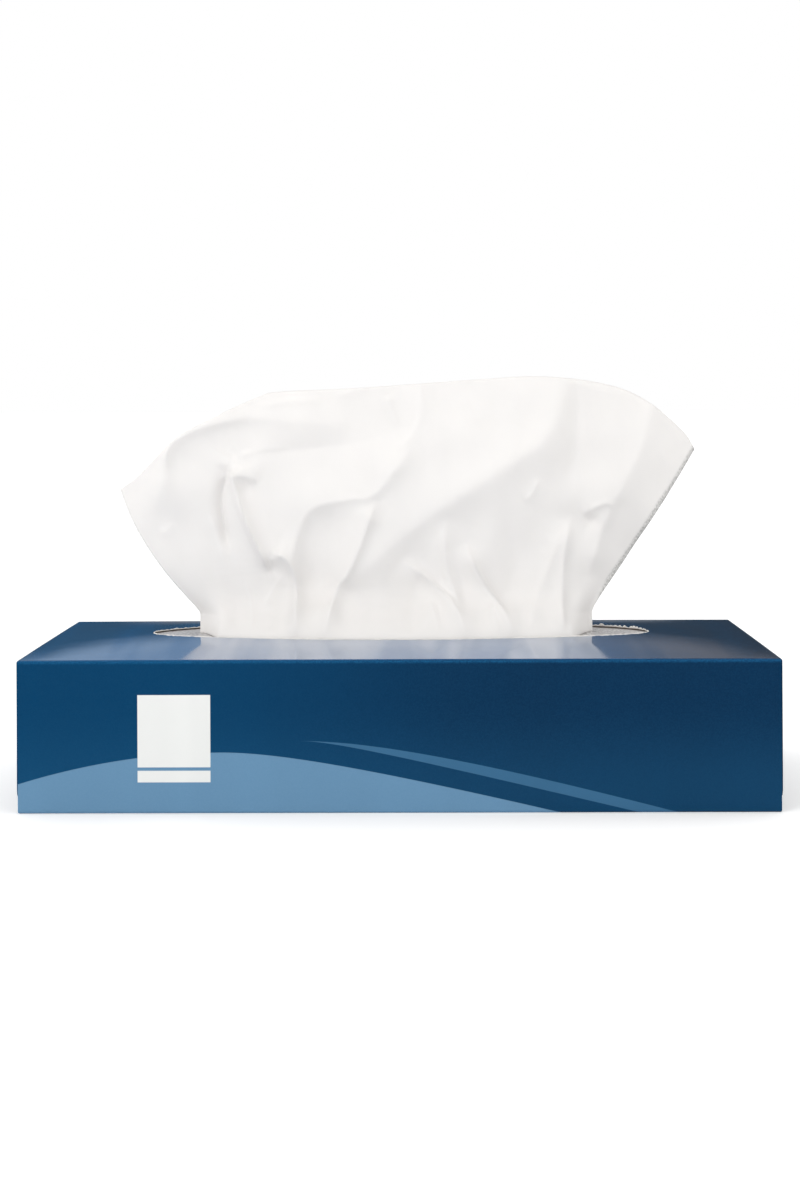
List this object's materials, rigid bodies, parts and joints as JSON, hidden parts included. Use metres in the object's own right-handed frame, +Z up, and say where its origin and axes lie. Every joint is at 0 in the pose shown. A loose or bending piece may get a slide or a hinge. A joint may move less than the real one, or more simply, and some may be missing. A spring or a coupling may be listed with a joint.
{
  "type": "tissue box",
  "caption": "Flat printed card tissue box with a torn-out oval, a slit film under it, a folded stack inside and one tissue raised ready to pull.",
  "frame": {"origin": "centre of the carton's base, on the surface that it stands on", "axes": "+X along the carton's length, -Y out of its front panel, +Z up"},
  "size_m": [0.225, 0.115, 0.1285],
  "materials": {
    "printed_card": "glossy dark blue print on white lined card",
    "clear_film": "thin hazy film",
    "tissue": "soft two-ply tissue"
  },
  "bodies": {
    "root": {"carton": "printed_card", "slit_film": "clear_film", "tissue_stack": "tissue", "raised_tissue": "tissue"}
  },
  "joints": []
}
